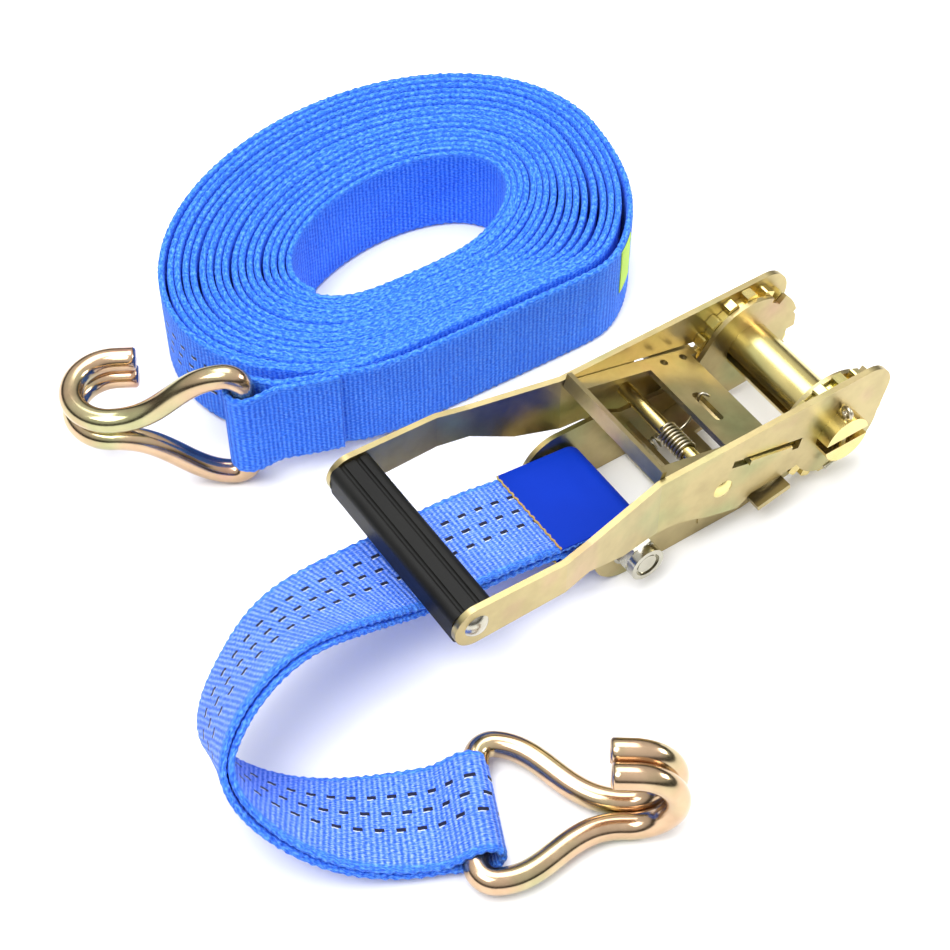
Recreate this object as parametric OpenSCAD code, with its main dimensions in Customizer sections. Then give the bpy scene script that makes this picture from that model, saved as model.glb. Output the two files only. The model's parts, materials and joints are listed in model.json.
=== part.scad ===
// Ratchet tie down for 50 mm webbing: a hand ratchet with a short fixed strap, and a long strap in a coil.
// X runs from the grip to the spindle, Y along the spindle and Z up, from the middle of the spindle axis.

/* [Webbing] */
// Width of the webbing
web_w = 50; // [49:0.5:51]
// Thickness of one layer of webbing
web_t = 3.2; // [2.6:0.1:3.2]

/* [Spindle] */
// Radius of the two half-moon shafts together
spindle_r = 12.5; // [12:0.1:12.5]
// Gap between the half-moon shafts, where the webbing is threaded
spindle_slot = 4.6; // [4.2:0.1:5]
// Length of the spindle
spindle_len = 92; // [90:0.5:96]
// Number of teeth on each ratchet wheel
wheel_teeth = 16; // [16:8:16]
// Radius over the tips of the teeth
wheel_tip_r = 30; // [29.5:0.1:30.2]
// Radius at the bottom of the gaps
wheel_root_r = 25.5; // [25:0.1:25.5]

/* [Frame] */
// Distance between the insides of the frame's side plates
frame_inside = 55; // [54.5:0.1:55]
// Thickness of the frame's side plates
frame_t = 2.5; // [2:0.1:2.5]
// Radius of the cam disc round the spindle
cam_r = 27.5; // [27:0.1:28]
// Distance from the spindle axis back to the strap bolt
bolt_x = 113; // [112:0.5:114]
// Distance from the spindle axis down to the strap bolt
bolt_drop = 15; // [14.5:0.1:15]
// Radius of the rounded ear at the strap bolt
ear_r = 19.5; // [19:0.1:19.5]

/* [Handle] */
// Width over the handle plates at the ratchet
handle_w = 78; // [78:0.1:78.4]
// Width over the handle plates at the grip
grip_w = 103; // [102:0.5:105]
// Thickness of the handle plates
handle_t = 3; // [2.8:0.1:3]
// Height of the handle's top edge above the spindle axis
handle_top = 30.5; // [30:0.1:30.5]
// Distance from the spindle axis back to the grip's rod
grip_x = 211; // [208:0.5:214]
// Height of the grip's rod above the spindle axis
grip_z = 22.5; // [22:0.1:23]
// Radius of the handle plates' rounded ends at the grip
grip_end_r = 11; // [10.5:0.1:11.5]

/* [Pull slide and frame pawl] */
// Slope of the pull slide, which points at the spindle axis
slide_pitch = 15; // [15:15]
// Thickness of the pull slide and of the frame pawl
pawl_t = 3; // [2.5:0.1:3]
// Slope of the frame pawl
frame_pawl_pitch = 12; // [12:12]

/* [Hooks] */
// Diameter of the hooks' round wire
hook_wire = 11.5; // [11:0.1:11.5]
// Distance from a hook's bar to the centre of its bend
hook_reach = 62; // [60:0.5:64]
// Radius of the bend at the middle of the wire
hook_bend_r = 19.5; // [19:0.1:20]

/* [Coil] */
// Half of the coil's length, outside
coil_a = 126; // [122:1:127]
// Half of the coil's width, outside
coil_b = 93; // [90:1:93]
// Half of the length of the hole in the coil
hole_a = 62; // [60:1:66]
// Half of the width of the hole in the coil
hole_b = 34; // [32:1:36]

/* [Hidden] */

steel = [0.78, 0.70, 0.45];
bright_steel = [0.85, 0.76, 0.48];
hook_gold = [0.85, 0.68, 0.42];
silver = [0.80, 0.79, 0.74];
black_plastic = [0.10, 0.10, 0.09];
webbing_blue = [0.25, 0.52, 0.98];
sleeve_blue = [0.00, 0.22, 0.80];
label_green = [0.70, 0.85, 0.30];

fine = 96;                 // facets of a true circle
run = 0.06;                // radial clearance of a shaft that turns in a hole
fixed = 0.02;              // radial clearance of a rod that is riveted in a hole

frame_out = frame_inside / 2 + frame_t;
handle_out = handle_w / 2;
handle_in = handle_out - handle_t;
grip_in = grip_w / 2 - handle_t;
wheel_gap = 0.2;           // side play of a wheel between the plates
wheel_y0 = frame_out + wheel_gap;
wheel_y1 = handle_in - wheel_gap;
floor_z = -(bolt_drop + ear_r);

// ---- helpers ----

// Extrudes an X-Z outline along Y, from y0 to y1
module along_y(y0, y1) {
    translate([0, y1, 0]) rotate([90, 0, 0]) linear_extrude(height = y1 - y0) children();
}

// A shaft or a hole along Y
module shaft(x, z, r, y0, y1) {
    translate([x, y1, z]) rotate([90, 0, 0]) cylinder(r = r, h = y1 - y0, $fn = fine);
}

// Rounds an outline's outer corners
module rounded(r) {
    offset(r = r, $fn = 32) offset(delta = -r) children();
}

// ---- frame ----

lock_recess_r = 25;        // radius of the cam disc where the pull slide can drop in
lobe_r = 30.4;             // radius of the cam lobe that lifts the pull slide off the teeth
frame_pawl_at = [-36, -16.5];

function polar(r, a) = [r * cos(a), r * sin(a)];
function sector(r, a0, a1, n = 12) = [for (i = [0:n]) polar(r, a0 + (a1 - a0) * i / n)];

// A side plate's outline: a cam disc with the releasing lobe and two recesses for the pull slide, a body
// and a round ear for the strap bolt
module frame_outline() {
    polygon(concat(
        sector(cam_r, -90, -26, 16), sector(lock_recess_r, -25.5, -7.5, 8), sector(lobe_r - 0.8, -6, 10, 8),
        [polar(cam_r + 0.5, 13)], sector(lobe_r, 16, 45.5, 12), sector(lock_recess_r, 46, 60, 6),
        sector(cam_r, 60.5, 140, 24), [[-34, -1], [-50, -3], [-76, -1], [-84, 3.5]],
        [for (p = sector(ear_r, 88, 270, 60)) p - [bolt_x, bolt_drop]],
        [[-46, floor_z], [-16, -cam_r - 1]]
    ));
}

// Local frame of the frame pawl: X towards the wheels, Z square to the plate
module at_frame_pawl() {
    translate([frame_pawl_at[0], 0, frame_pawl_at[1]]) rotate([0, -frame_pawl_pitch, 0]) children();
}

module frame_side() {
    difference() {
        along_y(frame_inside / 2, frame_out) frame_outline();
        shaft(0, 0, spindle_r + run, 0, 60);
        shaft(-bolt_x, -bolt_drop, 5 + fixed, 0, 60);
        at_frame_pawl() translate([-16.5, 0, -pawl_t / 2 - 0.3]) cube([31.5, 60, pawl_t + 0.6]);
        cross_plate_tabs(0.02);
    }
}

module frame_side_left() { color(steel) frame_side(); }
module frame_side_right() { color(steel) mirror([0, 1, 0]) frame_side(); }

cross_plate_x = -73;
cross_plate_t = 2.5;

module cross_plate_tabs(gap) {
    for (side = [-1, 1])
        translate([cross_plate_x - gap, side * (frame_inside / 2 + 2) - 3, -27 - gap])
            cube([cross_plate_t + 2 * gap, 6, 12 + 2 * gap]);
}

// Fixed plate between the sides, which the pawl springs push against
module frame_cross_plate() {
    color(steel) {
        translate([cross_plate_x, -frame_inside / 2 + 0.05, -31])
            cube([cross_plate_t, frame_inside - 0.1, 20]);
        intersection() {
            cross_plate_tabs(0);
            cube([200, 2 * frame_out + 1.2, 200], center = true);
        }
    }
}

// ---- strap bolt ----

bolt_r = 5;
spacer_r = 8;

module at_bolt() { translate([-bolt_x, 0, -bolt_drop]) children(); }

nut_len = 14;              // from the frame's side plate to the nut's outer end

module strap_bolt() {
    color(silver) at_bolt() {
        shaft(0, 0, bolt_r, -frame_out - nut_len + 0.6, frame_out);
        difference() {
            shaft(0, 0, 9, frame_out, frame_out + 5.5);
            translate([0, frame_out + 5.5, 0]) rotate([90, 0, 0]) cylinder(r = 5, h = 2, $fn = 6);
        }
    }
}

// Locking nut: a flange, a hexagon and a round collar with a counterbored end
module strap_bolt_nut() {
    color(silver) at_bolt() difference() {
        union() {
            shaft(0, 0, 10.2, -frame_out - 1.6, -frame_out);
            translate([0, -frame_out - 1.6, 0]) rotate([90, 0, 0]) cylinder(r = 9.8, h = 8, $fn = 6);
            shaft(0, 0, 8.8, -frame_out - nut_len, -frame_out - 9.5);
        }
        shaft(0, 0, bolt_r + fixed, -60, 60);
        shaft(0, 0, 6.4, -60, -frame_out - nut_len + 1.4);
    }
}

module strap_bolt_spacer() {
    color(steel) at_bolt() difference() {
        shaft(0, 0, spacer_r, -frame_inside / 2 + 0.1, frame_inside / 2 - 0.1);
        shaft(0, 0, bolt_r + 0.1, -60, 60);
    }
}

// ---- frame pawl ----

module frame_pawl() {
    color(steel) at_frame_pawl() difference() {
        union() {
            translate([-15, -frame_inside / 2 + 0.3, -pawl_t / 2]) cube([21, frame_inside - 0.6, pawl_t]);
            for (side = [-1, 1]) mirror([0, side > 0 ? 0 : 1, 0]) {
                translate([-13, 20, -pawl_t / 2]) cube([19, handle_out - 15, pawl_t]);
                translate([6, wheel_y0 - 0.1, -pawl_t / 2]) cube([2.5, wheel_y1 - wheel_y0, pawl_t]);
            }
        }
        translate([-9, -9, -5]) cube([10, 18, 10]);
    }
}

spring_y = 17;

spring_from = -34.2;       // from the cross plate to the frame pawl's back edge, along the pawl
spring_to = -15.1;

// Two compression springs between the cross plate and the frame pawl
module frame_pawl_springs() {
    color(silver) for (side = [-1, 1])
        at_frame_pawl() translate([0, side * spring_y, 0]) difference() {
            translate([spring_from, 0, 0]) rotate([0, 90, 0])
                cylinder(r = 3.5, h = spring_to - spring_from, $fn = 24);
            translate([-40, 0, 0]) rotate([0, 90, 0]) cylinder(r = 2.5, h = 40, $fn = 24);
        }
}

// ---- handle ----

joggle_x0 = -165;
joggle_x1 = -105;
cross_rod_at = [-68, 3];
cross_rod_r = 3.8;

// Plan of one handle plate: it steps outwards between the ratchet and the grip
module handle_plan() {
    polygon([
        [40, handle_in], [joggle_x1 - 0.5, handle_in], [joggle_x0 - 0.5, grip_in], [-240, grip_in],
        [-240, grip_in + handle_t], [joggle_x0, grip_in + handle_t], [joggle_x1, handle_out], [40, handle_out]
    ]);
}

module handle_outline() {
    rounded(2.5) union() {
        translate([-grip_x, grip_z]) circle(r = grip_end_r, $fn = fine);
        circle(r = 24.5, $fn = fine);
        hull() {
            translate([15.5, handle_top - 13.5]) circle(r = 13.5, $fn = 64);
            translate([14, 0]) circle(r = 10.5, $fn = 32);
            translate([-30, handle_top - 10]) square([1, 10]);
        }
        polygon([
            [-grip_x, grip_z + grip_end_r], [-150, handle_top], [15.5, handle_top], [15.5, 0], [-21, -9.5],
            [-50, -12], [-57, -18], [-75, -12], [-92, -4], [-104, -2.5], [-128, 2], [-150, 12],
            [-grip_x, grip_z - grip_end_r]
        ]);
    }
}

// Tapered slot for the pull slide's ear
module slide_slot() {
    rotate(180 - slide_pitch) polygon([[24, -3.2], [66, -2.1], [66, 2.1], [24, 3.2]]);
}

module handle_side() {
    difference() {
        intersection() {
            translate([0, 0, -60]) linear_extrude(height = 120) handle_plan();
            along_y(0, 60) handle_outline();
        }
        along_y(0, 60) slide_slot();
        shaft(0, 0, spindle_r + run, 0, 60);
        shaft(-grip_x, grip_z, 4 + fixed, 0, 60);
        shaft(cross_rod_at[0], cross_rod_at[1], cross_rod_r + fixed, 0, 60);
    }
}

module handle_side_left() { color(steel) handle_side(); }
module handle_side_right() { color(steel) mirror([0, 1, 0]) handle_side(); }

module handle_grip() {
    color(black_plastic) translate([-grip_x, 0, grip_z]) difference() {
        along_y(-grip_in + 0.1, grip_in - 0.1) difference() {
            rounded(4) square([21, 18], center = true);
            for (x = [-4.5, 3.5]) translate([x, 9.4]) circle(r = 1.3, $fn = 24);
            for (x = [-4.5, 3.5]) translate([x, -9.4]) circle(r = 1.3, $fn = 24);
        }
        shaft(0, 0, 4 + fixed, -60, 60);
    }
}

// A domed rivet head on the +Y side of y
module rivet_head(x, z, r, y, h) {
    dome_r = (r * r + h * h) / (2 * h);
    intersection() {
        translate([x, y + h - dome_r, z]) sphere(r = dome_r, $fn = fine);
        shaft(x, z, r, y, y + h + 1);
    }
}

module riveted_rod(x, z, r, head_r, y, h) {
    shaft(x, z, r, -y - 0.3, y + 0.3);
    for (side = [0, 1]) mirror([0, side, 0]) rivet_head(x, z, head_r, y, h);
}

module grip_rod() { color(silver) riveted_rod(-grip_x, grip_z, 4, 6, grip_w / 2, 2.6); }

module handle_cross_rod() {
    color(bright_steel)
        riveted_rod(cross_rod_at[0], cross_rod_at[1], cross_rod_r, cross_rod_r + 1.4, handle_out, 1.6);
}

// ---- pull slide ----

slide_in = handle_in - 0.3;

// Local frame of the pull slide: X towards the spindle axis, which lies at x = 0, and Z square to the plate
module at_slide() { rotate([0, slide_pitch, 0]) children(); }

module handle_pawl() {
    color(steel) at_slide() difference() {
        union() {
            translate([-62, -slide_in, -pawl_t / 2]) cube([27, 2 * slide_in, pawl_t]);
            translate([-108, -slide_in, -pawl_t / 2]) cube([2.6, 2 * slide_in, 8]);
            for (side = [0, 1]) mirror([0, side, 0]) {
                translate([-107, 28, -pawl_t / 2]) cube([50, slide_in - 28, pawl_t]);
                translate([-40, wheel_y0 + 0.1, -pawl_t / 2]) cube([9, slide_in - wheel_y0 - 0.1, pawl_t]);
                translate([-57, 32, -pawl_t / 2]) cube([26, handle_out - 30, pawl_t]);
            }
        }
        translate([-52, -3, -4]) linear_extrude(height = 8) rounded(1.9) square([5, 20], center = true);
        for (x = [-52, -40]) translate([x, 30.2, -4]) cylinder(r = 2, h = 8, $fn = 24);
    }
}

torsion_r = cross_rod_r + 1.05;    // middle of the spring's wire round the rod
torsion_wire_r = 0.95;
torsion_leg_pitch = 46.5;          // lean of the spring's leg, from upright
torsion_leg = 24;

// Torsion spring round the cross rod, with a leg that reaches up through the slide's slot
module handle_pawl_spring() {
    leg_x = cross_rod_at[0] + torsion_r * cos(torsion_leg_pitch);
    leg_z = cross_rod_at[1] - torsion_r * sin(torsion_leg_pitch);
    color(silver) {
        difference() {
            shaft(cross_rod_at[0], cross_rod_at[1], torsion_r + torsion_wire_r, -13, 7);
            shaft(cross_rod_at[0], cross_rod_at[1], cross_rod_r + 0.1, -20, 20);
        }
        translate([leg_x, 5, leg_z]) rotate([0, torsion_leg_pitch, 0])
            cylinder(r = 0.8, h = torsion_leg, $fn = 16);
    }
}

// ---- spindle ----

module spindle_half() {
    intersection() {
        shaft(0, 0, spindle_r, -spindle_len / 2, spindle_len / 2);
        translate([-20, -60, spindle_slot / 2]) cube([40, 120, 20]);
    }
}

pin_r = 1.8;
pin_y = handle_out + 3.9;

module pin_holes() {
    for (y = [-pin_y, pin_y]) translate([0, y, -20]) cylinder(r = pin_r + fixed, h = 40, $fn = 32);
}

module spindle_half_upper() {
    color(bright_steel) difference() {
        spindle_half();
        pin_holes();
    }
}

module spindle_half_lower() {
    color(bright_steel) difference() {
        mirror([0, 0, 1]) spindle_half();
        pin_holes();
    }
}

// A toothed wheel with two half-moon holes that fit the shafts
module ratchet_wheel() {
    pitch = 360 / wheel_teeth;
    first_gap = 180 - slide_pitch;
    difference() {
        along_y(wheel_y0, wheel_y1) union() {
            circle(r = wheel_root_r, $fn = fine);
            for (i = [0:wheel_teeth - 1]) rotate(first_gap + (i + 0.5) * pitch)
                polygon([
                    [20, -3.6], [wheel_root_r, -3.2], [wheel_tip_r - 0.8, -2.9], [wheel_tip_r - 0.1, -2.2],
                    [wheel_tip_r - 0.1, 2.2], [wheel_tip_r - 0.8, 2.9], [wheel_root_r, 3.2], [20, 3.6]
                ]);
        }
        difference() {
            shaft(0, 0, spindle_r + fixed, 0, 60);
            translate([-20, 0, -spindle_slot / 2 + 0.02]) cube([40, 60, spindle_slot - 0.04]);
        }
    }
}

module ratchet_wheel_left() { color(bright_steel) ratchet_wheel(); }
module ratchet_wheel_right() { color(bright_steel) mirror([0, 1, 0]) ratchet_wheel(); }

// Split pin: a shank through both shafts, an eye on top and a bent leg below
module split_pin() {
    translate([0, pin_y, -spindle_r - 2]) cylinder(r = pin_r, h = 2 * spindle_r + 4, $fn = 32);
    translate([0, pin_y, spindle_r + 3.6]) rotate([0, 90, 0]) rotate_extrude($fn = 32)
        translate([2.4, 0]) circle(r = 1.2, $fn = 16);
    translate([0, pin_y, -spindle_r - 1.6]) rotate([0, -110, 0]) cylinder(r = 1.1, h = 9, $fn = 16);
}

module split_pin_left() { color(silver) split_pin(); }
module split_pin_right() { color(silver) mirror([0, 1, 0]) split_pin(); }

// ---- webbing ----

// Cubic curve through its end points, with its end directions set by the middle two points
function bezier(p, t) =
    pow(1 - t, 3) * p[0] + 3 * pow(1 - t, 2) * t * p[1] + 3 * (1 - t) * t * t * p[2] + pow(t, 3) * p[3];
function unit(v) = v / norm(v);

// Ribbon: at each station a point on the middle line, the direction across it and the direction through it
function ribbon_ring(p, across, through, w, t) = [
    p - across * w / 2 - through * t / 2, p + across * w / 2 - through * t / 2,
    p + across * w / 2 + through * t / 2, p - across * w / 2 + through * t / 2
];

module ribbon(stations, w, t) {
    n = len(stations);
    rings = [for (s = stations) ribbon_ring(s[0], s[1], s[2], w, t)];
    polyhedron(
        points = [for (r = rings) for (q = r) q],
        faces = concat(
            [[0, 1, 2, 3]],
            [for (i = [0:n - 2]) for (k = [0:3]) each [
                [4 * i + k, 4 * i + 4 + k, 4 * i + (k + 1) % 4],
                [4 * i + (k + 1) % 4, 4 * i + 4 + k, 4 * i + 4 + (k + 1) % 4]
            ]],
            [[4 * n - 1, 4 * n - 2, 4 * n - 3, 4 * n - 4]]
        ),
        convexity = 10
    );
}

// Stations along a middle line, from its points and the direction across at each
function stations_of(pts, across) = [
    for (i = [0:len(pts) - 1])
        let (
            a = pts[max(i - 1, 0)], b = pts[min(i + 1, len(pts) - 1)],
            along = unit(b - a),
            w = unit(across[i] - along * (along * across[i]))
        )
        [pts[i], w, unit(cross(along, w))]
];

strap_t = 2 * web_t + 2;   // the short strap is two layers that lie loosely on each other
loop_r = spacer_r + 0.2;
loop_slope = 19;           // slope at which the short strap leaves its bolt
loop_len = 40;             // from the bolt to where the sleeve ends

module at_loop() { at_bolt() rotate([0, loop_slope, 0]) children(); }

// The sewn loop: a round eye that closes into the double strap
module loop_outline(extra) {
    hull() {
        circle(r = loop_r + web_t + extra, $fn = 32);
        translate([-loop_len, -strap_t / 2 - extra]) square([4, strap_t + 2 * extra]);
    }
}

// Smooth sleeve over the loop
module strap_sleeve() {
    color(sleeve_blue) at_loop() difference() {
        along_y(-web_w / 2 - 0.6, web_w / 2 + 0.6) intersection() {
            loop_outline(1);
            translate([-loop_len + 2, -30]) square([80, 60]);
        }
        along_y(-60, 60) loop_outline(0.05);
    }
}

hook_eye_r = hook_wire / 2 + 0.1;
hook_bar_at = [-245, -101, floor_z + hook_eye_r + web_t + 0.1];
hook_dir = -33.7;          // heading of the short strap's hook, from +X

// Control points of the short strap's middle line: from the sleeve under the grip, over in a bend and down to
// the ground, where it runs forward to its hook
strap_line = [
    [-bolt_x, 0, -bolt_drop] + loop_len * [-cos(loop_slope), 0, sin(loop_slope)],
    [-172, 0, 3], [-196, 0, 5], [-222, 1, 5], [-253, -1, 15], [-293, -13, 29],
    [-340, -33, 6], [-309, -70, -23], [-270, -90, -30], hook_bar_at
];
// Heading of the direction across the strap, and how far its far edge hangs, at each control point
strap_across = [90, 90, 90, 88, 82, 75, 77, 78, 62, 90 + hook_dir];
strap_bank = [0, 0, -1, -6, -20, -30, -32, -16, 0, 0];

// Smooth curve near a list of control values, which starts at the first and ends at the last
function padded(c) = concat([2 * c[0] - c[1]], c, [2 * c[len(c) - 1] - c[len(c) - 2]]);
function spline(c, u) =
    let (k = padded(c), n = len(c) - 1, i = min(floor(u * n), n - 1), t = u * n - i)
    (pow(1 - t, 3) * k[i] + (3 * pow(t, 3) - 6 * t * t + 4) * k[i + 1]
        + (-3 * pow(t, 3) + 3 * t * t + 3 * t + 1) * k[i + 2] + pow(t, 3) * k[i + 3]) / 6;

strap_steps = 45;
strap_points = [for (i = [0:strap_steps - 2]) spline(strap_line, i / strap_steps)];
strap_wide = [for (i = [0:strap_steps - 2]) let (
    h = spline(strap_across, i / strap_steps), b = spline(strap_bank, i / strap_steps)
) [cos(h) * cos(b), sin(h) * cos(b), sin(b)]];

// Eye of webbing round a hook's bar: the bar lies along Y and the strap comes from -X, from dz above the bar
module hook_eye(w, tail, dz, t) {
    along_y(-w / 2, w / 2) hull() {
        circle(r = hook_eye_r + web_t, $fn = 32);
        translate([-tail, dz - t / 2]) square([1, t]);
    }
}

module short_strap() {
    color(webbing_blue) difference() {
        union() {
            at_loop() along_y(-web_w / 2, web_w / 2) loop_outline(0);
            ribbon(stations_of(strap_points, strap_wide), web_w, strap_t);
            translate(hook_bar_at) rotate([0, 0, hook_dir]) hook_eye(web_w - 0.4, 17, -2.5, strap_t);
        }
        at_bolt() shaft(0, 0, loop_r, -60, 60);
        translate(hook_bar_at) rotate([0, 0, hook_dir]) shaft(0, 0, hook_eye_r, -60, 60);
    }
}

// ---- hooks ----

arm_y = 33;                // half the width of a hook's bar, at the middle of the wire
prong_y = 5.9;             // half the distance between the two prongs
corner_r = 8;
hook_tilt = asin((hook_bar_at[2] - floor_z - hook_wire / 2) / (hook_reach + 4));

// Route of one half of a hook: along the bar, round its corner, in to the middle, round the bend and back
arm_curve = [[corner_r, arm_y, 0], [30, arm_y - 1, 0], [36, prong_y, 0], [hook_reach, prong_y, 0]];
hook_half = concat(
    [[0, arm_y - corner_r, 0]],
    [for (a = [30:30:60]) [corner_r - corner_r * cos(a), arm_y - corner_r + corner_r * sin(a), 0]],
    [for (i = [0:8]) bezier(arm_curve, i / 8)],
    [for (a = [18:18:180]) [hook_reach + hook_bend_r * sin(a), prong_y, hook_bend_r * (1 - cos(a))]],
    [[hook_reach - 10, prong_y, 2 * hook_bend_r]]
);
hook_route = concat(
    [for (i = [len(hook_half) - 1:-1:0]) [hook_half[i][0], -hook_half[i][1], hook_half[i][2]]],
    hook_half
);

// Round wire along a route: one closed tube
module wire(route, r, sides) {
    n = len(route);
    tangents = [for (i = [0:n - 1]) unit(route[min(i + 1, n - 1)] - route[max(i - 1, 0)])];
    // the first side direction is carried along the route, so that the tube doesn't twist
    carried = [
        for (
            i = 0, s = unit(cross(tangents[0], [0, 1, 0]));
            i < n;
            i = i + 1, s = i < n ? unit(s - tangents[i] * (tangents[i] * s)) : s
        ) s
    ];
    polyhedron(
        points = [for (i = [0:n - 1]) for (k = [0:sides - 1]) let (
            a = 360 * k / sides, u = carried[i], v = cross(tangents[i], u)
        ) route[i] + r * (cos(a) * u + sin(a) * v)],
        faces = concat(
            [[for (k = [0:sides - 1]) k]],
            [for (i = [0:n - 2]) for (k = [0:sides - 1]) each [
                [sides * i + k, sides * i + sides + k, sides * i + (k + 1) % sides],
                [sides * i + (k + 1) % sides, sides * i + sides + k, sides * i + sides + (k + 1) % sides]
            ]],
            [[for (k = [sides - 1:-1:0]) sides * (n - 1) + k]]
        ),
        convexity = 10
    );
}

// Claw hook with its bar along Y at the origin, its bend towards +X and its prongs rising to +Z
module claw_hook() { wire(hook_route, hook_wire / 2, 16); }

module short_strap_hook() {
    color(hook_gold) translate(hook_bar_at) rotate([0, 0, hook_dir]) rotate([0, hook_tilt, 0]) claw_hook();
}

// ---- long strap ----

coil_at = [-104, 188];
hole_at = [-101, 181];
coil_turn = 8;             // angle of the coil's long side, from +X

coil_front = 101.8;        // the flattened side of the coil, which faces the ratchet
tail_front = 99.4;
coil_bulge = 10;           // how far the outer turns swell out at the corner before the tail
tail_bulge = 3.5;          // how far the tail stands off them there

function smooth(x) = x * x * (3 - 2 * x);
function share(x) = smooth(min(max(x, 0), 1));
// Swelling round the coil, which grows from -12 to -62 degrees and ends at -100
function swell(angle) = min(share((-12 - angle) / 50), 1 - share((-66 - angle) / 34));
// Brings points in front of a straight run along X back onto it
function flattened(p, y) =
    let (run_y = y - 0.034 * (p[0] + 88), soft = 2.5)
    [p[0], run_y + soft * ln(1 + exp((p[1] - run_y) / soft))];
function oval(at, a, b, angle) =
    let (c = a * cos(angle), s = b * sin(angle))
    [at[0] + c * cos(coil_turn) - s * sin(coil_turn), at[1] + c * sin(coil_turn) + s * cos(coil_turn)];

module long_strap_coil() {
    color(webbing_blue) translate([0, 0, floor_z]) linear_extrude(height = web_w) difference() {
        polygon([for (i = [-36:35]) let (g = coil_bulge * swell(5 * i)) 
            flattened(oval(coil_at, coil_a + g, coil_b + g, 5 * i), coil_front)]);
        polygon([for (i = [0:47]) oval(hole_at, hole_a, hole_b, 7.5 * i)]);
    }
}

long_bar_at = [-228, 115, floor_z + arm_y + hook_wire / 2];
long_dir = 149;            // heading of the long strap's hook, from +X
tail_dir = 156;            // heading of the tail where it reaches the hook
tail_gap = 2.4;            // from the coil's outside to the middle of the tail
tail_from = -4;            // angles on the coil at which the tail begins and leaves it
tail_to = -112;
tail_lift = long_bar_at[2] - floor_z - web_w / 2;
tail_eye = 14;             // from the hook's bar back to where the sewn loop closes
tail_end = long_bar_at - tail_eye * [cos(tail_dir), sin(tail_dir), 0] - [0, 0, tail_lift];

function tail_on_coil(angle) =
    let (g = tail_gap + (coil_bulge + tail_bulge) * swell(angle))
    concat(flattened(oval(coil_at, coil_a + g, coil_b + g, angle), tail_front), floor_z + web_w / 2);
tail_run = [
    tail_on_coil(tail_to),
    tail_on_coil(tail_to) + 22 * unit(tail_on_coil(tail_to - 1) - tail_on_coil(tail_to)),
    tail_end - 22 * [cos(tail_dir), sin(tail_dir), 0], tail_end
];
tail_points = concat(
    [for (a = [tail_from:-6:tail_to + 4]) tail_on_coil(a)],
    [for (i = [0:8]) bezier(tail_run, i / 8) + [0, 0, tail_lift * smooth(i / 8)]]
);

module long_strap_tail() {
    color(webbing_blue) difference() {
        union() {
            ribbon(stations_of(tail_points, [for (p = tail_points) [0, 0, 1]]), web_w, web_t);
            translate(long_bar_at) rotate([0, 0, tail_dir]) rotate([90, 0, 0])
                hook_eye(web_w - 0.4, tail_eye + 2, 0, strap_t);
        }
        translate(long_bar_at) cylinder(r = hook_eye_r, h = 80, center = true, $fn = fine);
    }
}

label_angle = -57;

module strap_label() {
    way = unit(tail_on_coil(label_angle - 2) - tail_on_coil(label_angle + 2));
    color(label_green) translate(tail_on_coil(label_angle)) rotate([0, 0, atan2(way[1], way[0])])
        translate([0, web_t / 2 + 0.9, 8]) cube([14, 0.5, 28], center = true);
}

module long_strap_hook() {
    color(hook_gold) translate(long_bar_at) rotate([0, 0, long_dir]) rotate([90, 0, 0]) claw_hook();
}

// ---- nodes ----

frame_side_left();
frame_side_right();
frame_cross_plate();
strap_bolt();
strap_bolt_nut();
strap_bolt_spacer();
frame_pawl();
frame_pawl_springs();
handle_side_left();
handle_side_right();
handle_grip();
grip_rod();
handle_cross_rod();
handle_pawl();
handle_pawl_spring();
spindle_half_upper();
spindle_half_lower();
ratchet_wheel_left();
ratchet_wheel_right();
split_pin_left();
split_pin_right();
strap_sleeve();
short_strap();
short_strap_hook();
long_strap_coil();
long_strap_tail();
strap_label();
long_strap_hook();
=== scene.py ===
import json
import math

import bpy
import numpy as np
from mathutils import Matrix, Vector


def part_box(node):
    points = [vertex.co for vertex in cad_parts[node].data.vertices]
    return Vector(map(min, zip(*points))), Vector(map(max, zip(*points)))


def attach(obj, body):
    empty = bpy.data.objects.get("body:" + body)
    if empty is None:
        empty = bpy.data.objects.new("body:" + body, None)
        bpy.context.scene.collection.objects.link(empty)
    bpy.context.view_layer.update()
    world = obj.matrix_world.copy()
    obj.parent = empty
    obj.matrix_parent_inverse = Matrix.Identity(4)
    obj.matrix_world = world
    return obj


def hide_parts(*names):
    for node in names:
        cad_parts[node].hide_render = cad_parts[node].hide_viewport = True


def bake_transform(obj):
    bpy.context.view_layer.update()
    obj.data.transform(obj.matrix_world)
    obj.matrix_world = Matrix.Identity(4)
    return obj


# Ratchet tie down: the visible pieces, built round the CAD frame. Metres, in the CAD frame's axes.

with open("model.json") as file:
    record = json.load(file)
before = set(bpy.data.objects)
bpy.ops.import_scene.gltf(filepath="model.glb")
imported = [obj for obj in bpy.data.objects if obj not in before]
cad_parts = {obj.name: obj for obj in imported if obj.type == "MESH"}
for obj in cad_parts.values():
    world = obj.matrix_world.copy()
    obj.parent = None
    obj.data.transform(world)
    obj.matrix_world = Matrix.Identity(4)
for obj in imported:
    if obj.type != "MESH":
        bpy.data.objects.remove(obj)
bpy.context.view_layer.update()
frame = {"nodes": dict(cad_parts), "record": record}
record = frame["record"]
joints = {j["name"]: j for j in record["behaviour"]["joints"]}
mounts = {m["name"]: m for m in record["mounts"]}
MM = 0.001

# ---------------------------------------------------------------- places taken from the frame

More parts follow.
